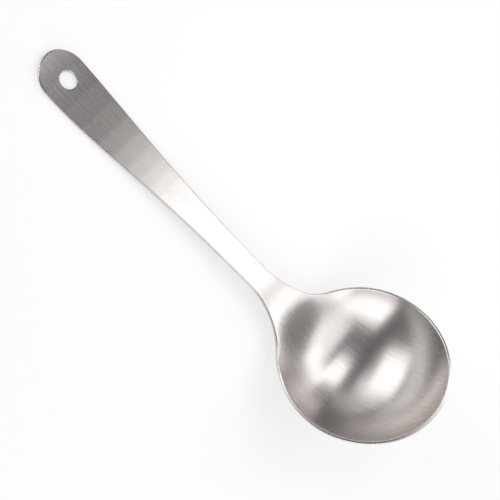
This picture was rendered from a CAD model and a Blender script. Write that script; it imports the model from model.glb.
"""Round serving spoon of brushed stainless steel, lying on a pale floor.

Sizes are in millimetres, and meshes are written in metres. The spoon is made the way
the real one is: a flat blank is cut, its edges are rounded, and it is pressed into
the bowl, the heel and the handle. `along` and `across` are places on the flat
sheet, from the middle of the bowl towards the handle and from the centre line.
"""

import logging
import math
from collections.abc import Iterable
from dataclasses import dataclass

import bmesh
import bpy
import numpy as np
from mathutils import Matrix, Vector


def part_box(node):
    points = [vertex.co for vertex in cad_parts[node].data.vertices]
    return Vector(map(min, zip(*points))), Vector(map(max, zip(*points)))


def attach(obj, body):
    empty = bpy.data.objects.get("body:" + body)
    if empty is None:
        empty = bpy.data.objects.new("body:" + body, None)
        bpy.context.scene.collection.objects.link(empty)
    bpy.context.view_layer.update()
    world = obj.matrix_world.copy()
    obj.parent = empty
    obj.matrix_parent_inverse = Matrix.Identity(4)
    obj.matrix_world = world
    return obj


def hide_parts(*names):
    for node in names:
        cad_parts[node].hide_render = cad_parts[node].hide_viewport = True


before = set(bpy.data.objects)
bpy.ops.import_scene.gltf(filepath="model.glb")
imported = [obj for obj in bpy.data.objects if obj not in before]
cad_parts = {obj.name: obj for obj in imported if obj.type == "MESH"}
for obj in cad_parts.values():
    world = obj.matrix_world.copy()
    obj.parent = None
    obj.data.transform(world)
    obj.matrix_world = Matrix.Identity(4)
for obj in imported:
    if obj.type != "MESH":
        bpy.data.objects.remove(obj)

MM = 0.001

# UV map that holds each point's place on the flat sheet
SHEET_MAP = "sheet"

# Angle between two faces past which their edge is a sharp one
SHARP = math.radians(60.0)

# Rounds of smoothing that even out the blank's faces
EVEN_ROUNDS = 160

# Half-angle below which a row of points counts as straight
LEAST_TURN = 1e-6

# Values that most of a noise texture lies between
NOISE_LOW, NOISE_HIGH = 0.25, 0.75

log = logging.getLogger("serving_spoon")


def linear(colour: str) -> tuple[float, float, float, float]:
    """Turns an sRGB hex colour into linear red, green, blue and alpha.

    Args:
        colour: Six hex digits after a hash sign.

    Returns:
        The linear colour, with an alpha of 1.
    """
    shares = [int(colour[i:i + 2], 16) / 255.0 for i in (1, 3, 5)]
    toe, slope, offset, gamma = 0.04045, 12.92, 0.055, 2.4
    values = [
        share / slope if share <= toe else ((share + offset) / (1.0 + offset)) ** gamma
        for share in shares
    ]
    return values[0], values[1], values[2], 1.0


def add_node(
    tree: bpy.types.NodeTree, kind: str, links: dict[str | int, object], **settings: object
) -> bpy.types.Node:
    """Adds a node, sets it and links its inputs.

    Args:
        tree: The node tree that gets the node.
        kind: The node's type.
        links: Input name or number to a value, or to the output socket that feeds it.
        **settings: The node's own properties.

    Returns:
        The new node.
    """
    node = tree.nodes.new(kind)
    for name, value in settings.items():
        setattr(node, name, value)
    for name, value in links.items():
        if isinstance(value, bpy.types.NodeSocket):
            tree.links.new(value, node.inputs[name])
        else:
            node.inputs[name].default_value = value
    return node


def ease(share: np.ndarray) -> np.ndarray:
    """Goes from 0 to 1 as share does, level at both ends."""
    share = np.clip(share, 0.0, 1.0)
    return share ** 3 * (share * (6.0 * share - 15.0) + 10.0)


@dataclass(frozen=True)
class BrushedSteel:
    """Stainless steel sheet, brushed along the spoon.

    The eye gets soft, wide highlights that smear across the lines, and fine bright
    and dark hairlines along the spoon.

    Attributes:
        colour: Colour that the steel gives a reflection.
        roughness: Mean roughness of the brushed face.
        anisotropy: How much more the highlights smear across the lines.
        line_pitch: Spacing of the hairlines. Real ones lie about 0.05 mm apart, and
            these are drawn coarser, so that they show.
        line_length: Length of a hairline.
        line_depth: Depth of a hairline, drawn deeper to go with the coarser pitch.
        line_detail: How many finer layers the hairlines have.
        line_grain: Strength of each finer layer beside the one before.
        streak: Share by which the roughness varies from line to line.
    """

    name: str = "brushed_stainless_steel"
    colour: str = "#cdc8c6"
    roughness: float = 0.29
    anisotropy: float = 0.68
    line_pitch: float = 0.35
    line_length: float = 22.0
    line_depth: float = 0.00012
    line_detail: float = 3.0
    line_grain: float = 0.6
    streak: float = 0.15

    def material(self) -> bpy.types.Material:
        """Makes the material.

        Returns:
            The material, which reads the sheet's own places from its UV map.
        """
        steel = bpy.data.materials.new(self.name)
        steel.use_nodes = True
        tree = steel.node_tree
        tree.nodes.clear()
        sheet = add_node(tree, "ShaderNodeUVMap", {}, uv_map=SHEET_MAP)
        sizes = (self.line_pitch * MM, self.line_length * MM, 1.0)
        stretched = add_node(
            tree,
            "ShaderNodeMapping",
            {"Vector": sheet.outputs["UV"], "Scale": [1.0 / size for size in sizes]},
        )
        lines = add_node(
            tree,
            "ShaderNodeTexNoise",
            {
                "Vector": stretched.outputs["Vector"],
                "Scale": 1.0,
                "Detail": self.line_detail,
                "Roughness": self.line_grain,
            },
            noise_dimensions="2D",
        )
        rough = add_node(
            tree,
            "ShaderNodeMapRange",
            {
                "Value": lines.outputs["Fac"],
                "From Min": NOISE_LOW,
                "From Max": NOISE_HIGH,
                "To Min": self.roughness * (1.0 - self.streak),
                "To Max": self.roughness * (1.0 + self.streak),
            },
        )
        relief = add_node(
            tree,
            "ShaderNodeBump",
            {"Height": lines.outputs["Fac"], "Distance": self.line_depth * MM, "Strength": 1.0},
        )
        across = add_node(
            tree, "ShaderNodeTangent", {}, direction_type="UV_MAP", uv_map=SHEET_MAP
        )
        shader = add_node(
            tree,
            "ShaderNodeBsdfPrincipled",
            {
                "Base Color": linear(self.colour),
                "Metallic": 1.0,
                "Roughness": rough.outputs["Result"],
                "Anisotropic": self.anisotropy,
                "Normal": relief.outputs["Normal"],
                "Tangent": across.outputs["Tangent"],
            },
        )
        add_node(tree, "ShaderNodeOutputMaterial", {"Surface": shader.outputs["BSDF"]})
        return steel


@dataclass(frozen=True)
class WhiteBoard:
    """Smooth matt board for the floor, which keeps the spoon's soft shadow.

    Attributes:
        colour: Colour of the board.
        roughness: Its roughness.
        shown_white: How far the picture and reflections see it drawn towards pure white.
    """

    name: str = "matt_white_board"
    colour: str = "#fbfbfa"
    roughness: float = 0.9
    shown_white: float = 0.6

    def material(self) -> bpy.types.Material:
        """Makes the material.

        Returns:
            The material, which lights the spoon only as a plain matt board does.
        """
        board = bpy.data.materials.new(self.name)
        board.use_nodes = True
        tree = board.node_tree
        tree.nodes.clear()
        shader = add_node(
            tree,
            "ShaderNodeBsdfPrincipled",
            {
                "Base Color": linear(self.colour),
                "Roughness": self.roughness,
                "Specular IOR Level": 0.0,
            },
        )
        white = add_node(tree, "ShaderNodeEmission", {"Strength": 1.0})
        ray = add_node(tree, "ShaderNodeLightPath", {}).outputs
        seen = ray["Is Camera Ray"]
        for kind in ("Is Glossy Ray", "Is Transmission Ray"):
            either = add_node(
                tree, "ShaderNodeMath", {0: seen, 1: ray[kind]}, operation="MAXIMUM"
            )
            seen = either.outputs["Value"]
        share = add_node(
            tree, "ShaderNodeMath", {0: seen, 1: self.shown_white}, operation="MULTIPLY"
        )
        mixed = add_node(
            tree,
            "ShaderNodeMixShader",
            {0: share.outputs["Value"], 1: shader.outputs["BSDF"], 2: white.outputs["Emission"]},
        )
        add_node(tree, "ShaderNodeOutputMaterial", {"Surface": mixed.outputs["Shader"]})
        return board


@dataclass(frozen=True)
class Row:
    """One row of the blank's points across the handle, from edge to edge.

    Attributes:
        edge: Place along the sheet of the row's two ends.
        half_width: How far its ends lie from the centre line.
        bow: How far its middle stands beyond its ends.
        turn: Half the angle of the arc that the row makes. It is 0 for a straight row.
    """

    edge: float
    half_width: float
    bow: float = 0.0
    turn: float = 0.0

    def place(self, share: float) -> tuple[float, float, float]:
        """Place on the flat sheet of a point of the row.

        Args:
            share: From -1 at one edge to 1 at the other.

        Returns:
            The place along, the place across and a height of 0.
        """
        if self.turn < LEAST_TURN:
            return self.edge, self.half_width * share, 0.0
        lift = (math.cos(share * self.turn) - math.cos(self.turn)) / (1.0 - math.cos(self.turn))
        across = self.half_width * math.sin(share * self.turn) / math.sin(self.turn)
        return self.edge + self.bow * lift, across, 0.0


@dataclass
class Blank:
    """The flat sheet that the spoon is pressed from, and the mesh of it.

    Attributes:
        sheet: Its thickness.
        inset: How much smaller it is cut, so that the spoon stays inside the frame's
            box, whose facets cut the curves a little short.
        edge_round: Radius that the outline's edges are rounded by.
        hole_round: Radius that the hang hole's edges are rounded by.
        edge_steps: Faces across a rounded edge.
        bowl_width: Width of the finished bowl, wall and all.
        rim_slope: Slope of the bowl's wall at its rim, in degrees.
        end_round: How far the round end of the handle stands out from its widest place.
        hole_inset: Distance from the end of the handle to the middle of the hang hole.
        columns: Faces across the handle.
        ring_step: Distance between the rings of points in the bowl.
        end_corner: Where the last row meets the side of the round end, in degrees.
        hole_cells: Faces from the middle of the hang hole to its square border, before
            that is drawn to a circle.
        hole_margin: Straight rows past that border.
        hole_reach: How far from the middle of the hole the faces are evened out.
        corner_reach: The same, from where a flare meets the rim.
    """

    sheet: float = 1.5
    inset: float = 0.21
    edge_round: float = 0.45
    hole_round: float = 0.2
    edge_steps: int = 3
    bowl_width: float = 78.0
    rim_slope: float = 65.0
    neck_length: float = 25.6
    handle_length: float = 133.9
    neck_width: float = 11.1
    grip_width: float = 15.1
    end_width: float = 22.4
    end_round: float = 12.6
    hole_diameter: float = 8.0
    hole_inset: float = 14.6
    columns: int = 24
    ring_step: float = 1.0
    end_corner: float = 38.0
    hole_cells: int = 4
    hole_margin: int = 3
    hole_reach: float = 8.8
    corner_reach: float = 20.0

    def __post_init__(self) -> None:
        """Works out the places that follow from the sizes."""
        slope = math.radians(self.rim_slope)
        self.bowl_radius = self.bowl_width / 2.0 / math.sin(slope) - self.sheet
        self.rim_at = self.bowl_radius * slope - self.inset
        self.bowl_depth = self.bowl_radius * (1.0 - math.cos(slope))
        self.neck_at = self.rim_at + self.neck_length
        self.handle_end = self.neck_at + self.handle_length
        self.widest_at = self.handle_end - self.end_round
        self.hole_at = self.handle_end - self.hole_inset
        half = self.neck_width / 2.0
        beyond = self.neck_at ** 2 + half ** 2 - self.rim_at ** 2
        self.flare = beyond / (2.0 * (self.rim_at - half))
        self.leave = math.atan2(half + self.flare, self.neck_at)
        self.cell = self.end_width / self.columns

    def half_width(self, along: float) -> float:
        """Half the handle's width between the neck and its widest place.

        Two cubic stretches, level at both ends and smooth at the grip between them,
        where such a curve is three quarters as steep as the whole widening.

        Args:
            along: Place along the sheet.

        Returns:
            The distance of the long edge from the centre line.
        """
        widths = [self.neck_width / 2.0, self.grip_width / 2.0, self.end_width / 2.0]
        stretch = (self.widest_at - self.neck_at) / 2.0
        share = (along - self.neck_at) / stretch
        first = 0 if share < 1.0 else 1
        slopes = [0.0, 0.75 * (widths[2] - widths[0]), 0.0]
        t = share - first
        step = t * t * (3.0 - 2.0 * t)
        rise = t * (1.0 - t) ** 2 * slopes[first] - t * t * (1.0 - t) * slopes[first + 1]
        return widths[first] + (widths[first + 1] - widths[first]) * step + rise

    def flare_rows(self) -> list[Row]:
        """Rows from the rim of the bowl to the neck, along the two flares."""
        count = round(self.neck_length / self.ring_step)
        rows = []
        for i in range(1, count + 1):
            share = i / count
            bearing = self.leave * (1.0 - share) + math.pi / 2.0 * share
            edge = self.neck_at - self.flare * math.cos(bearing)
            half = self.neck_width / 2.0 + self.flare * (1.0 - math.sin(bearing))
            rest = 1.0 - float(ease(share))
            bow = self.rim_at * (1.0 - math.cos(self.leave)) * rest
            rows.append(Row(edge, half, bow, self.leave * rest))
        return rows

    def handle_rows(self) -> list[Row]:
        """Straight rows from the neck to just past the hang hole."""
        count = round((self.hole_at - self.neck_at) / self.cell)
        step = (self.hole_at - self.neck_at) / count
        count += self.hole_cells + self.hole_margin
        places = [self.neck_at + step * (i + 1) for i in range(count)]
        return [Row(place, self.edge_at(place)) for place in places]

    def edge_at(self, along: float) -> float:
        """Distance of the handle's edge from the centre line, rounded end and all."""
        if along <= self.widest_at:
            return self.half_width(along)
        share = (along - self.widest_at) / self.end_round
        return self.end_width / 2.0 * math.sqrt(max(1.0 - share * share, 0.0))

    def end_rows(self, last: Row) -> list[Row]:
        """Rows that bow out to the handle's round end.

        Args:
            last: The straight row that they start from.

        Returns:
            The rows, of which the last lies on the outline.
        """
        start = math.acos((last.edge - self.widest_at) / self.end_round)
        corner = math.radians(self.end_corner)
        count = round((self.handle_end - last.edge) / self.cell)
        rows = []
        for i in range(1, count + 1):
            share = i / count
            angle = start * (1.0 - share) + corner * share
            bow = self.end_round * (1.0 - math.cos(corner)) * share * share
            edge = self.widest_at + self.end_round * math.cos(angle)
            rows.append(Row(edge, self.end_width / 2.0 * math.sin(angle), bow, corner * share))
        return rows

    def cut(self) -> bmesh.types.BMesh:
        """Cuts the flat blank.

        Returns:
            A closed mesh in millimetres, with its upper face at a height of 0.
        """
        mesh = bmesh.new()
        rim = self.cut_disc(mesh)
        self.cut_handle(mesh, rim)
        self.cut_hole(mesh)
        for bearing in (-self.leave, self.leave):
            corner = Vector((math.cos(bearing), math.sin(bearing), 0.0)) * self.rim_at
            self.even_out(mesh, corner, self.corner_reach)
        for face in mesh.faces:
            face.normal_update()
        bmesh.ops.reverse_faces(mesh, faces=[face for face in mesh.faces if face.normal.z < 0.0])
        self.thicken(mesh)
        return mesh

    def cut_disc(self, mesh: bmesh.types.BMesh) -> list[bmesh.types.BMEdge]:
        """Cuts the disc that becomes the bowl, ring by ring from its middle.

        Args:
            mesh: The mesh that gets the disc.

        Returns:
            The rim's edges that the handle leaves from.
        """
        half = self.columns // 2
        segments = round(math.pi * half / self.leave) * 2
        rings = round(self.rim_at / self.ring_step)
        step = self.rim_at / rings
        ring = bmesh.ops.create_circle(
            mesh, cap_ends=True, cap_tris=True, segments=segments, radius=step
        )["verts"]
        ring = [vert for vert in ring if vert.co.length > step / 2.0]
        even = 2.0 * math.pi / segments
        for vert in ring:
            bearing = math.atan2(vert.co.y, vert.co.x)
            count = abs(bearing) / even
            if count < half + 0.5:
                turned = count * self.leave / half
            else:
                left = segments / 2 - half
                turned = self.leave + (count - half) * (math.pi - self.leave) / left
            turned = math.copysign(turned, bearing)
            vert.co = Vector((math.cos(turned), math.sin(turned), 0.0)) * step
        edges = [edge for edge in mesh.edges if edge.is_boundary]
        for i in range(1, rings):
            made = bmesh.ops.extrude_edge_only(mesh, edges=edges)["geom"]
            ring = [item for item in made if isinstance(item, bmesh.types.BMVert)]
            edges = self.open_edges(made)
            bmesh.ops.scale(mesh, vec=Vector((1.0, 1.0, 1.0)) * ((i + 1) / i), verts=ring)
        inside = self.leave + even / 2.0
        return [
            edge
            for edge in edges
            if all(abs(math.atan2(vert.co.y, vert.co.x)) < inside for vert in edge.verts)
        ]

    def cut_handle(self, mesh: bmesh.types.BMesh, rim: list[bmesh.types.BMEdge]) -> None:
        """Draws the handle out of the rim, row by row.

        Args:
            mesh: The mesh that holds the disc.
            rim: The rim's edges that the handle leaves from.
        """
        rows = self.flare_rows() + self.handle_rows()
        rows += self.end_rows(rows[-1])
        edges = rim
        for row in rows:
            made = bmesh.ops.extrude_edge_only(mesh, edges=edges)["geom"]
            edges = self.open_edges(made)
            points = [item for item in made if isinstance(item, bmesh.types.BMVert)]
            points.sort(key=lambda vert: vert.co.y)
            for i, vert in enumerate(points):
                vert.co = row.place(2.0 * i / self.columns - 1.0)

    @staticmethod
    def open_edges(made: list) -> list[bmesh.types.BMEdge]:
        """The edges among newly made parts that have no second face yet."""
        return [item for item in made if isinstance(item, bmesh.types.BMEdge) and item.is_boundary]

    def cut_hole(self, mesh: bmesh.types.BMesh) -> None:
        """Cuts the hang hole: a square of faces goes, and its border is drawn to a circle.

        Args:
            mesh: The mesh that holds the handle.
        """
        middle = Vector((self.hole_at, 0.0, 0.0))
        square = (self.hole_cells - 0.5) * self.cell
        inner = [
            vert
            for vert in mesh.verts
            if max(abs(vert.co.x - middle.x), abs(vert.co.y)) < square
        ]
        bmesh.ops.delete(mesh, geom=inner, context="VERTS")
        for vert in mesh.verts:
            if vert.is_boundary and self.near_hole(vert):
                outward = (vert.co - middle).normalized()
                vert.co = middle + outward * self.hole_diameter / 2.0
        self.even_out(mesh, middle, self.hole_reach)

    @staticmethod
    def even_out(mesh: bmesh.types.BMesh, middle: Vector, reach: float) -> None:
        """Evens out the faces round a place, and leaves the outline as it is.

        Args:
            mesh: The flat mesh.
            middle: The place.
            reach: How far from it points are moved.
        """
        free = [
            vert
            for vert in mesh.verts
            if not vert.is_boundary and (vert.co - middle).length < reach
        ]
        for _ in range(EVEN_ROUNDS):
            bmesh.ops.smooth_vert(
                mesh, verts=free, factor=0.5, use_axis_x=True, use_axis_y=True, use_axis_z=True
            )

    def thicken(self, mesh: bmesh.types.BMesh) -> None:
        """Gives the sheet its thickness, and rounds its sheared edges.

        Args:
            mesh: The flat mesh, one face thick.
        """
        bmesh.ops.solidify(mesh, geom=mesh.faces[:], thickness=self.sheet)
        top = max(vert.co.z for vert in mesh.verts)
        bmesh.ops.translate(mesh, vec=(0.0, 0.0, -top), verts=mesh.verts)
        bmesh.ops.recalc_face_normals(mesh, faces=mesh.faces)
        sharp = [edge for edge in mesh.edges if edge.calc_face_angle(0.0) > SHARP]
        bored = [edge for edge in sharp if all(self.near_hole(vert) for vert in edge.verts)]
        self.round_off(mesh, [edge for edge in sharp if edge not in bored], self.edge_round)
        self.round_off(mesh, [edge for edge in bored if edge.is_valid], self.hole_round)

    def near_hole(self, vert: bmesh.types.BMVert) -> bool:
        """Whether a point of a border or an edge is the hang hole's, and not the outline's."""
        return (vert.co.xy - Vector((self.hole_at, 0.0))).length < self.hole_diameter

    def round_off(
        self, mesh: bmesh.types.BMesh, edges: list[bmesh.types.BMEdge], radius: float
    ) -> None:
        """Rounds sharp edges.

        Args:
            mesh: The mesh that holds them.
            edges: The edges.
            radius: Radius of the rounding.
        """
        bmesh.ops.bevel(
            mesh,
            geom=edges,
            offset=radius,
            offset_type="OFFSET",
            affect="EDGES",
            segments=self.edge_steps,
            profile=0.5,
            material=-1,
            clamp_overlap=False,
        )


@dataclass
class Pressing:
    """The press that turns the flat sheet into the spoon.

    Attributes:
        blank: The sheet that it presses.
        straight_slope: Slope of the handle above the plane of the rim, in degrees.
        end_slope: The same, at the end of the handle.
        lift_length: Length of the handle's last part, which lifts.
        heel_inset: How far inside the rim the wall starts to turn over.
        heel_spread: How far to each side the heel reaches, in degrees.
        steps: Fineness of the slopes added up along the sheet.
    """

    blank: Blank
    straight_slope: float = 28.6
    end_slope: float = 39.0
    lift_length: float = 73.6
    heel_inset: float = 21.1
    heel_spread: float = 47.7
    steps: int = 64

    def __post_init__(self) -> None:
        """Works out where the heel starts."""
        self.heel_start = self.blank.rim_at - self.heel_inset

    def wall_slope(self, along: np.ndarray) -> np.ndarray:
        """Slope of the round wall: the sphere's, and straight on past the rim."""
        return np.minimum(along / self.blank.bowl_radius, math.radians(self.blank.rim_slope))

    def handle_slope(self, along: np.ndarray) -> np.ndarray:
        """Slope of the handle: it runs straight from the neck, and its last part lifts."""
        start = self.blank.handle_end - self.lift_length
        lift = np.clip((along - start) / self.lift_length, 0.0, 1.0)
        return np.radians(self.straight_slope + (self.end_slope - self.straight_slope) * lift ** 2)

    def turned(self, along: np.ndarray) -> np.ndarray:
        """How far the bowl has given way to the handle, from 0 to 1."""
        return ease((along - self.heel_start) / (self.blank.neck_at - self.heel_start))

    def centre_slope(self, along: np.ndarray) -> np.ndarray:
        """Slope of the centre line: the wall turns over at the heel into the handle."""
        turned = self.turned(along)
        return (1.0 - turned) * self.wall_slope(along) + turned * self.handle_slope(along)

    def run_and_rise(self, heel: np.ndarray, length: np.ndarray) -> tuple[np.ndarray, np.ndarray]:
        """Goes along the sheet from the middle of the bowl.

        Args:
            heel: From 0 where the wall is the bowl's to 1 on the centre line.
            length: How far to go.

        Returns:
            How far that runs out, and how far it rises.
        """
        step = length / self.steps
        run = np.zeros_like(length)
        rise = np.zeros_like(length)
        for i in range(self.steps):
            at = (i + 0.5) * step
            slope = (1.0 - heel) * self.wall_slope(at) + heel * self.centre_slope(at)
            run += step * np.cos(slope)
            rise += step * np.sin(slope)
        return run, rise

    def pressed(self, along: np.ndarray, across: np.ndarray) -> np.ndarray:
        """Places of the sheet's upper face after pressing.

        In the bowl the sheet bends along rays from the middle. In the handle it bends
        along the centre line alone. The heel goes smoothly from one to the other.

        Args:
            along: Places along the sheet.
            across: Places across it.

        Returns:
            One row of three lengths for each place, from the middle of the rim's plane.
        """
        reach = np.hypot(along, across)
        bearing = np.arctan2(across, along)
        spread = np.minimum(np.abs(bearing) / math.radians(self.heel_spread), 1.0)
        run, rise = self.run_and_rise(np.cos(spread * math.pi / 2.0) ** 2, reach)
        depth = self.blank.bowl_depth
        bowl = np.stack([run * np.cos(bearing), run * np.sin(bearing), rise - depth], axis=1)
        run, rise = self.run_and_rise(np.ones_like(along), np.maximum(along, 0.0))
        handle = np.stack([run, across, rise - depth], axis=1)
        share = self.turned(along)[:, None]
        return bowl * (1.0 - share) + handle * share

    def frame_at(self, along: np.ndarray, across: np.ndarray) -> tuple[np.ndarray, np.ndarray]:
        """Places on the upper face, and the face's own directions there.

        Args:
            along: Places along the sheet.
            across: Places across it.

        Returns:
            The places, and for each one the directions along, across and out of the face.
        """
        reach = 0.05
        forward = self.pressed(along + reach, across) - self.pressed(along - reach, across)
        sideways = self.pressed(along, across + reach) - self.pressed(along, across - reach)
        forward /= np.linalg.norm(forward, axis=1)[:, None]
        outward = np.cross(forward, sideways)
        outward /= np.linalg.norm(outward, axis=1)[:, None]
        sideways = np.cross(outward, forward)
        return self.pressed(along, across), np.stack([forward, sideways, outward], axis=1)


@dataclass
class ServingSpoon:
    """The whole spoon, which is one pressed sheet.

    Attributes:
        blank: The flat sheet.
        pressing: The press.
        finish: What its surface is.
        rest_tilt: Degrees between the plane of the rim and the floor as it rests.
        node: The frame's node that it stands for.
        name: Name of the piece.
    """

    blank: Blank
    pressing: Pressing
    finish: BrushedSteel
    rest_tilt: float = 32.66
    node: str = "serving_spoon"
    name: str = "pressed_spoon"

    def tilted(self, rows: np.ndarray) -> np.ndarray:
        """Turns points or directions of the pressed spoon to the way that it rests."""
        turn = np.array(Matrix.Rotation(math.radians(self.rest_tilt), 3, "Y"))
        return rows @ turn.T

    def lie(self, places: np.ndarray) -> np.ndarray:
        """Lays the spoon on the floor, where the frame's node lies.

        Args:
            places: Points of the pressed spoon, one row each.

        Returns:
            The same points in the frame's own place.
        """
        turned = self.tilted(places)
        low, high = (np.array(corner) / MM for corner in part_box(self.node))
        least, most = turned.min(axis=0), turned.max(axis=0)
        shift = (low + high - least - most) / 2.0
        shift[2] = low[2] - least[2]
        return turned + shift

    def build(self) -> bpy.types.Object:
        """Cuts, presses and places the spoon.

        Returns:
            The finished object, which stands for the frame's node.
        """
        mesh = self.blank.cut()
        flat = np.array([vert.co for vert in mesh.verts])
        facing = np.array([self.facing(vert) for vert in mesh.verts])
        layer = mesh.loops.layers.uv.new(SHEET_MAP)
        for face in mesh.faces:
            face.smooth = True
            for loop in face.loops:
                loop[layer].uv = (loop.vert.co.y * MM, loop.vert.co.x * MM)
        upper, axes = self.pressing.frame_at(flat[:, 0], flat[:, 1])
        places = upper + flat[:, 2:3] * axes[:, 2]
        normals = np.einsum("ij,ijk->ik", facing, axes)
        for vert, place in zip(mesh.verts, self.lie(places)):
            vert.co = place * MM
        data = bpy.data.meshes.new(self.name)
        mesh.to_mesh(data)
        mesh.free()
        normals = self.tilted(normals)
        normals /= np.linalg.norm(normals, axis=1)[:, None]
        data.normals_split_custom_set_from_vertices(normals.tolist())
        piece = bpy.data.objects.new(self.name, data)
        bpy.context.scene.collection.objects.link(piece)
        data.materials.append(self.finish.material())
        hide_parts(self.node)
        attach(piece, "root")
        return piece

    @staticmethod
    def facing(vert: bmesh.types.BMVert) -> Vector:
        """Direction that the flat sheet faces at a point, led by its larger faces."""
        total = Vector()
        for face in vert.link_faces:
            total += face.normal * face.calc_area()
        return total.normalized()


def stand_at(azimuth: float, elevation: float, distance: float) -> Matrix:
    """Place of a thing that looks at the middle of the table.

    Args:
        azimuth: Direction it stands in, in degrees from +X towards +Y.
        elevation: Degrees above the floor.
        distance: How far away, in millimetres.

    Returns:
        The matrix, whose own +Z points away from the table.
    """
    flat = math.cos(math.radians(elevation))
    away = Vector((
        flat * math.cos(math.radians(azimuth)),
        flat * math.sin(math.radians(azimuth)),
        math.sin(math.radians(elevation)),
    ))
    turn = away.to_track_quat("Z", "Y").to_matrix().to_4x4()
    return Matrix.Translation(away * distance * MM) @ turn


@dataclass(frozen=True)
class Softbox:
    """A rectangular soft lamp that looks at the middle of the table.

    Attributes:
        azimuth: Direction it stands in, in degrees from +X towards +Y.
        elevation: Degrees above the floor.
        distance: From the middle of the table, in millimetres.
        width: Its size along the floor.
        height: Its other size.
        level: Brightness of its face, where 1 is white.
    """

    name: str
    azimuth: float
    elevation: float
    distance: float
    width: float
    height: float
    level: float

    def build(self) -> bpy.types.Object:
        """Makes the lamp."""
        lamp = bpy.data.lights.new(self.name, "AREA")
        lamp.shape = "RECTANGLE"
        lamp.size = self.width * MM
        lamp.size_y = self.height * MM
        lamp.energy = self.level * math.pi * lamp.size * lamp.size_y
        thing = bpy.data.objects.new(self.name, lamp)
        bpy.context.scene.collection.objects.link(thing)
        thing.matrix_world = stand_at(self.azimuth, self.elevation, self.distance)
        return thing


@dataclass(frozen=True)
class Camera:
    """Camera that sees the spoon as the photograph does.

    Attributes:
        aim: Point of the floor in the middle of the picture.
        azimuth: Direction that it stands in, in degrees from +X towards +Y.
        elevation: Degrees above the floor.
        distance: From the point that it looks at.
        roll: Degrees that it is turned about its own axis.
        focal_pixels: Focal length in pixels of the picture.
        picture: Width of the picture in pixels.
    """

    aim: tuple[float, float, float] = (-12.82, -10.05, 0.0)
    azimuth: float = 63.82
    elevation: float = 60.13
    distance: float = 502.8
    roll: float = 70.57
    focal_pixels: float = 1100.0
    picture: float = 500.0

    def build(self) -> bpy.types.Object:
        """Makes the camera the scene's own."""
        data = bpy.data.cameras.new("camera")
        data.lens = self.focal_pixels / self.picture * data.sensor_width
        camera = bpy.data.objects.new("camera", data)
        bpy.context.scene.collection.objects.link(camera)
        stand = stand_at(self.azimuth, self.elevation, self.distance)
        roll = Matrix.Rotation(math.radians(self.roll), 4, "Z")
        camera.matrix_world = Matrix.Translation(Vector(self.aim) * MM) @ stand @ roll
        bpy.context.scene.camera = camera
        return camera


@dataclass
class Studio:
    """Pale floor, soft lamps and camera.

    Attributes:
        floor_size: Length of the floor's sides.
        floor: What the floor is.
        world_level: Brightness of the room, where 1 is white.
        world_colour: Its colour.
        lamps: The softboxes. The two over the handle make its bright neck and its
            gradient, and the others make the broad highlights in the bowl.
    """

    floor_size: float = 6000.0
    floor: WhiteBoard = WhiteBoard()
    world_level: float = 0.13
    world_colour: str = "#ffffff"
    lamps: tuple[Softbox, ...] = (
        Softbox("softbox_over_handle", 262.2, 62.2, 339.0, 110.0, 230.0, 2.25),
        Softbox("softbox_over_grip", 302.0, 60.0, 173.0, 40.0, 50.0, 1.15),
        Softbox("softbox_left", 184.0, 60.0, 620.0, 560.0, 340.0, 1.3),
        Softbox("softbox_left_low", 241.0, 38.5, 640.0, 320.0, 380.0, 2.2),
        Softbox("softbox_left_wide", 205.0, 38.0, 620.0, 560.0, 420.0, 0.2),
        Softbox("softbox_back", 232.0, 17.0, 620.0, 400.0, 240.0, 1.3),
        Softbox("softbox_front_left", 118.0, 27.0, 620.0, 580.0, 440.0, 2.6),
        Softbox("softbox_right", 5.0, 28.0, 620.0, 740.0, 420.0, 1.6),
        Softbox("softbox_right_wide", 0.0, 30.0, 620.0, 1050.0, 640.0, 0.35),
        Softbox("softbox_back_right", 302.0, 25.0, 620.0, 520.0, 340.0, 0.5),
    )

    def build(self) -> None:
        """Makes everything round the spoon."""
        mesh = bmesh.new()
        bmesh.ops.create_grid(mesh, x_segments=1, y_segments=1, size=self.floor_size / 2.0 * MM)
        data = bpy.data.meshes.new("floor")
        mesh.to_mesh(data)
        mesh.free()
        data.materials.append(self.floor.material())
        floor = bpy.data.objects.new("floor", data)
        bpy.context.scene.collection.objects.link(floor)
        for lamp in self.lamps:
            lamp.build()
            log.info("studio: %s", lamp.name)
        self.light_world()
        Camera().build()
        bpy.context.scene.view_settings.view_transform = "Standard"

    def light_world(self) -> None:
        """Lights the room evenly."""
        world = bpy.data.worlds.new("room")
        world.use_nodes = True
        tree = world.node_tree
        tree.nodes.clear()
        room = add_node(
            tree,
            "ShaderNodeBackground",
            {"Color": linear(self.world_colour), "Strength": self.world_level},
        )
        add_node(tree, "ShaderNodeOutputWorld", {"Surface": room.outputs["Background"]})
        bpy.context.scene.world = world


def main() -> None:
    """Builds the spoon and its studio, and notes the sizes of the frame and the scene."""
    logging.basicConfig(level=logging.INFO, format="%(name)s: %(message)s")
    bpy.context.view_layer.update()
    blank = Blank()
    spoon = ServingSpoon(blank, Pressing(blank), BrushedSteel()).build()
    log.info("%s: %d faces", spoon.name, len(spoon.data.polygons))
    Studio().build()


if __name__ == "__main__":
    main()
